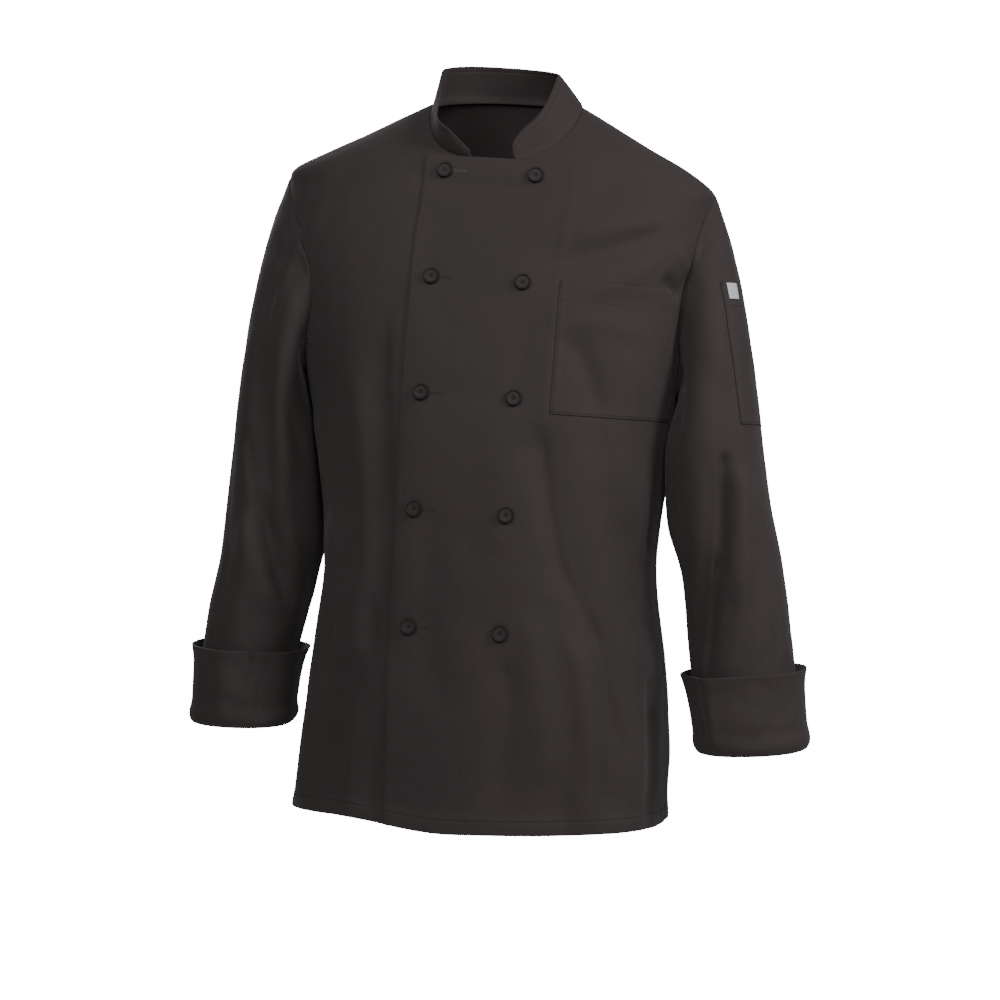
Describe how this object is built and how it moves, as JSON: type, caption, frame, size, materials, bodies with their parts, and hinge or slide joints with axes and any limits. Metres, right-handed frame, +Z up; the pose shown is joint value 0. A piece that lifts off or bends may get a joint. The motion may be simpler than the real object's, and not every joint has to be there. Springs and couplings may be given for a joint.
{
  "type": "chef jacket",
  "caption": "Hollow worn chef jacket of dark cloth: stand collar, double-breasted button front, chest and sleeve pockets, long sleeves and turned-back cuffs.",
  "frame": {"origin": "middle of the neck base, level with the inner ends of the shoulder seams, where the wearer's neck and shoulders hold the jacket", "axes": "+Z up along the wearer, -Y towards what the wearer faces, +X towards the wearer's left"},
  "size_m": [0.6754, 0.2908, 0.8206],
  "materials": {
    "cloth": "smooth dark charcoal twill, softly creased",
    "button": "satin dark plastic",
    "label": "bare silver-grey woven tab"
  },
  "bodies": {
    "root": {"back": "cloth", "front_left": "cloth", "front_right": "cloth", "sleeve_left": "cloth", "sleeve_right": "cloth", "cuff_left": "cloth", "cuff_right": "cloth", "collar": "cloth", "chest_pocket": "cloth", "sleeve_pocket": "cloth", "sleeve_label": "label", "button_1_left": "button", "button_1_right": "button", "button_2_left": "button", "button_2_right": "button", "button_3_left": "button", "button_3_right": "button", "button_4_left": "button", "button_4_right": "button", "button_5_left": "button", "button_5_right": "button"}
  },
  "joints": []
}
